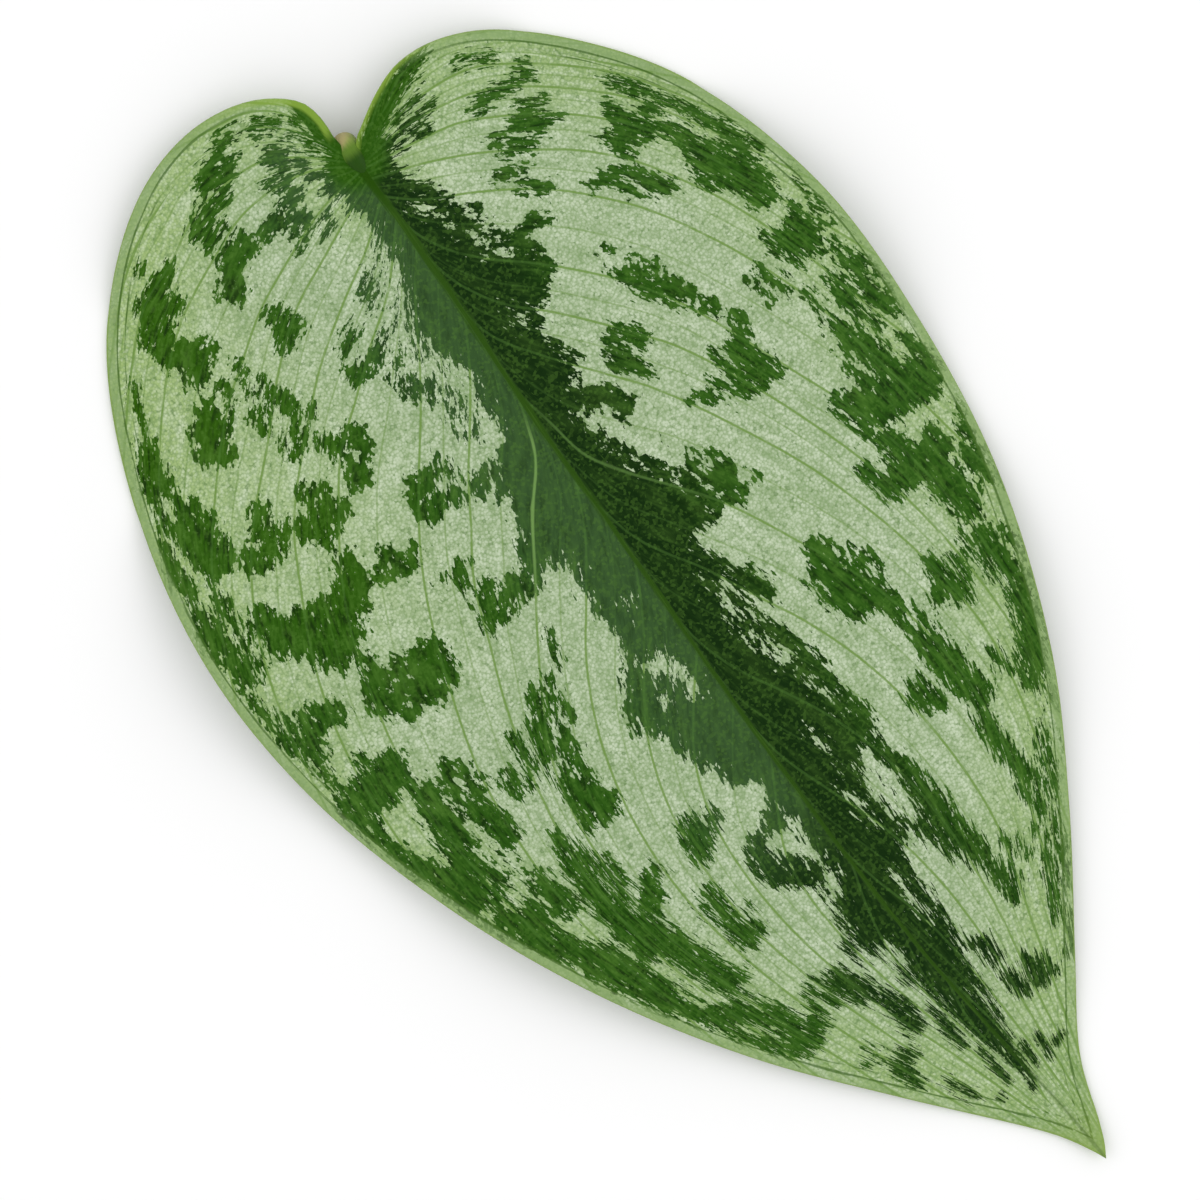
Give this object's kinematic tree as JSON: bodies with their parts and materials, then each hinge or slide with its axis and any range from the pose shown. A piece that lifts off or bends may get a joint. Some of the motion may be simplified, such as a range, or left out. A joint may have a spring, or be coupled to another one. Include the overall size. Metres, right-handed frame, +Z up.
{
  "type": "satin pothos leaf",
  "caption": "Satin pothos leaf as picked: a broad, heart-shaped green blade with silver variegation, a midrib and a short petiole stub.",
  "frame": {"origin": "on the surface that the leaf rests on, under the middle of the leaf's box", "axes": "+Z up out of the leaf's upper face, +Y from the petiole to the tip, +X towards the wider half of the blade"},
  "size_m": [0.0932, 0.1624, 0.0093],
  "materials": {
    "leaf": "satin, green with silver variegation above and pale green below"
  },
  "bodies": {
    "root": {"leaf": "leaf"}
  },
  "joints": []
}
